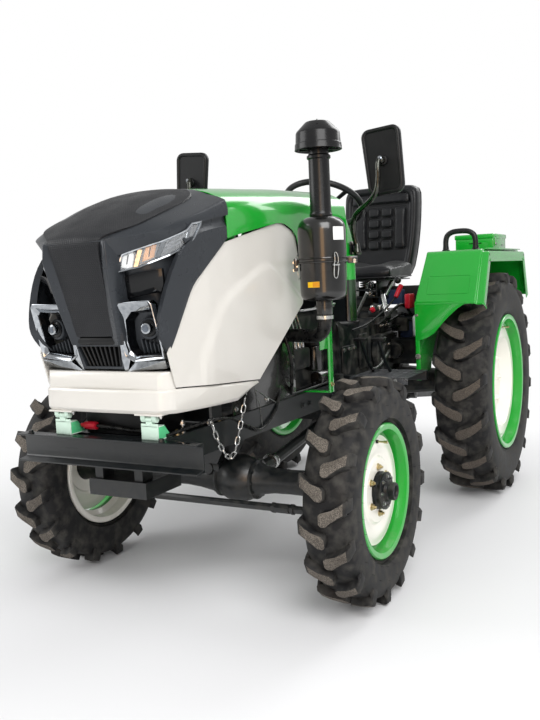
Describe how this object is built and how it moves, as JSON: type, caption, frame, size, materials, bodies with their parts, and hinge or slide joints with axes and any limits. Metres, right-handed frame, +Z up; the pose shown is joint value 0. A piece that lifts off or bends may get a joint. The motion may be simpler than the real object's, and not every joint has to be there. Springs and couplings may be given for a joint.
{
  "type": "compact tractor",
  "caption": "Small four-wheel-drive farm tractor with a tilting green bonnet, cream side panels, lugged tyres, open seat, upright air stack and a rear three-point hitch.",
  "frame": {"origin": "on the ground, under the middle of the tractor's overall box", "axes": "+Z up, -Y towards the front of the tractor, +X towards its left side"},
  "size_m": [1.451, 2.842, 1.6396],
  "materials": {
    "tyre_rubber": "matte",
    "green_enamel": "gloss",
    "cream_enamel": "gloss",
    "graphite_plastic": "satin",
    "black_plastic": "satin",
    "black_enamel": "gloss",
    "painted_steel": "satin",
    "painted_iron": "matte",
    "grey_steel": "satin",
    "black_vinyl": "satin",
    "mint_enamel": "satin",
    "lamp_glass": "clear",
    "hose_rubber": "satin",
    "zinc_plate": "satin"
  },
  "bodies": {
    "chassis": {"frame_rails": "painted_steel", "front_beam": "painted_steel", "bonnet_bracket_left": "mint_enamel", "bonnet_bracket_right": "mint_enamel", "engine": "painted_iron", "radiator": "painted_iron", "battery": "black_plastic", "transmission": "painted_iron", "rear_axle_left": "painted_iron", "rear_axle_right": "painted_iron", "front_axle": "painted_steel", "front_drive_shaft": "painted_steel", "steering_column": "painted_steel", "dash_cowl": "green_enamel", "air_cleaner": "black_enamel", "intake_stack": "black_plastic", "intake_hose": "hose_rubber", "cleaner_bracket": "green_enamel", "footboard_left": "grey_steel", "footboard_right": "grey_steel", "fender_left": "green_enamel", "fender_right": "green_enamel", "grab_handle_left": "black_plastic", "grab_handle_right": "black_plastic", "seat_mount": "painted_steel", "seat_cushion": "black_vinyl", "seat_back": "black_vinyl", "mirror_left": "black_plastic", "mirror_right": "black_plastic", "gear_levers": "painted_steel", "hitch_frame": "painted_steel", "bonnet_chain": "zinc_plate"},
    "bonnet": {"bonnet_top": "green_enamel", "side_panel_left": "cream_enamel", "side_panel_right": "cream_enamel", "front_mask": "graphite_plastic", "v_panel": "black_plastic", "bumper": "cream_enamel", "headlamp_left": "lamp_glass", "headlamp_right": "lamp_glass", "fog_lamp_left": "lamp_glass", "fog_lamp_right": "lamp_glass"},
    "front_left_wheel": {"front_left_tyre": "tyre_rubber", "front_left_rim": "green_enamel"},
    "front_right_wheel": {"front_right_tyre": "tyre_rubber", "front_right_rim": "green_enamel"},
    "rear_left_wheel": {"rear_left_tyre": "tyre_rubber", "rear_left_rim": "green_enamel"},
    "rear_right_wheel": {"rear_right_tyre": "tyre_rubber", "rear_right_rim": "green_enamel"},
    "knuckle_left": {"left_knuckle": "painted_steel"},
    "knuckle_right": {"right_knuckle": "painted_steel"},
    "tie_rod": {"tie_rod": "painted_steel"},
    "steering_wheel": {"steering_wheel": "black_plastic"},
    "lift_arms": {"lift_arms": "painted_steel"},
    "lift_rod_left": {"lift_rod_left": "painted_steel"},
    "lift_rod_right": {"lift_rod_right": "painted_steel"},
    "lower_link_left": {"lower_link_left": "painted_steel"},
    "lower_link_right": {"lower_link_right": "painted_steel"}
  },
  "joints": [
    {"name": "steering_wheel_turn", "type": "hinge", "parent": "chassis", "child": "steering_wheel", "pos_m": [0, 0.29, 1.4], "axis": [0, 0.5, 0.866], "range_deg": [-540, 540]},
    {"name": "kingpin_left", "type": "hinge", "parent": "chassis", "child": "knuckle_left", "pos_m": [0.452, -0.73, 0.371], "axis": [0, 0, 1], "range_deg": [-38, 38]},
    {"name": "kingpin_right", "type": "hinge", "parent": "chassis", "child": "knuckle_right", "pos_m": [-0.452, -0.73, 0.371], "axis": [0, 0, 1], "range_deg": [-38, 38]},
    {"name": "tie_rod_swing", "type": "hinge", "parent": "knuckle_left", "child": "tie_rod", "pos_m": [0.452, -0.865, 0.319], "axis": [0, 0, 1], "range_deg": [-38, 38]},
    {"name": "front_left_spin", "type": "hinge", "parent": "knuckle_left", "child": "front_left_wheel", "pos_m": [0.58, -0.73, 0.371], "axis": [1, 0, 0], "continuous": true},
    {"name": "front_right_spin", "type": "hinge", "parent": "knuckle_right", "child": "front_right_wheel", "pos_m": [-0.58, -0.73, 0.371], "axis": [1, 0, 0], "continuous": true},
    {"name": "rear_left_spin", "type": "hinge", "parent": "chassis", "child": "rear_left_wheel", "pos_m": [0.605, 0.79, 0.525], "axis": [1, 0, 0], "continuous": true},
    {"name": "rear_right_spin", "type": "hinge", "parent": "chassis", "child": "rear_right_wheel", "pos_m": [-0.605, 0.79, 0.525], "axis": [1, 0, 0], "continuous": true},
    {"name": "bonnet_hinge", "type": "hinge", "parent": "chassis", "child": "bonnet", "pos_m": [0, -1.322, 0.69], "axis": [1, 0, 0], "range_deg": [0, 60]},
    {"name": "lift_shaft", "type": "hinge", "parent": "chassis", "child": "lift_arms", "pos_m": [0, 1.01, 0.86], "axis": [1, 0, 0], "range_deg": [-18, 24]},
    {"name": "lift_rod_left_pivot", "type": "hinge", "parent": "lift_arms", "child": "lift_rod_left", "pos_m": [0.175, 1.19, 0.86], "axis": [1, 0, 0], "range_deg": [-24, 18]},
    {"name": "lower_link_left_pivot", "type": "hinge", "parent": "chassis", "child": "lower_link_left", "pos_m": [0.185, 0.94, 0.43], "axis": [1, 0, 0], "range_deg": [-13, 17.5]},
    {"name": "lift_rod_right_pivot", "type": "hinge", "parent": "lift_arms", "child": "lift_rod_right", "pos_m": [-0.175, 1.19, 0.86], "axis": [1, 0, 0], "range_deg": [-24, 18]},
    {"name": "lower_link_right_pivot", "type": "hinge", "parent": "chassis", "child": "lower_link_right", "pos_m": [-0.185, 0.94, 0.43], "axis": [1, 0, 0], "range_deg": [-13, 17.5]}
  ],
  "couplings": [
    {"joint": "kingpin_left", "follows": "steering_wheel_turn", "ratio": 0.07037},
    {"joint": "kingpin_right", "follows": "steering_wheel_turn", "ratio": 0.07037},
    {"joint": "tie_rod_swing", "follows": "steering_wheel_turn", "ratio": -0.07037},
    {"joint": "lift_rod_left_pivot", "follows": "lift_shaft", "ratio": -1},
    {"joint": "lower_link_left_pivot", "follows": "lift_shaft", "ratio": 0.72},
    {"joint": "lift_rod_right_pivot", "follows": "lift_shaft", "ratio": -1},
    {"joint": "lower_link_right_pivot", "follows": "lift_shaft", "ratio": 0.72}
  ]
}
